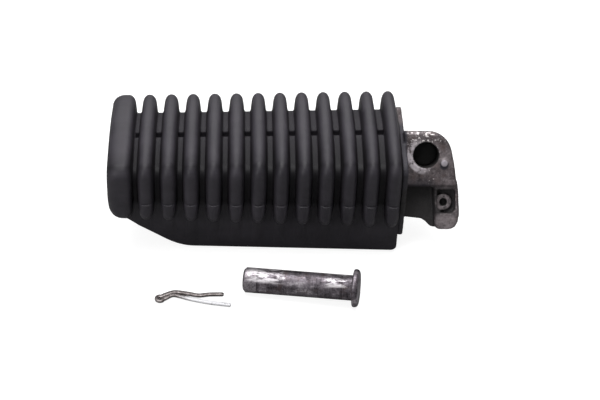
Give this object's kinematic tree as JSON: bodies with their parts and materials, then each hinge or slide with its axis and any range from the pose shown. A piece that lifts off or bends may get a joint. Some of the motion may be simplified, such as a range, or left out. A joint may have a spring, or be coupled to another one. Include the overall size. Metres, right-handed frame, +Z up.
{
  "type": "motorcycle passenger footpeg",
  "caption": "Folding passenger footpeg: ribbed rubber block on a cast arm with a pivot lug, with its headed pivot pin and split pin laid beside it.",
  "frame": {"origin": "centre of the pivot bore, on its axis", "axes": "+X from the peg's outer end towards the pivot lug, +Z up from the flat underside, +Y to the peg's rear side"},
  "size_m": [0.1124, 0.0689, 0.0411],
  "materials": {
    "cast_metal": "worn and stained casting, bright where it rubbed",
    "pad_rubber": "smooth moulded black rubber with a soft sheen",
    "worn_steel": "turned steel, dull and stained, with rubbed rings",
    "split_steel": "dull drawn steel"
  },
  "bodies": {
    "root": {"arm": "cast_metal", "rubber_pad": "pad_rubber", "pivot_pin": "worn_steel", "split_pin": "split_steel"}
  },
  "joints": []
}
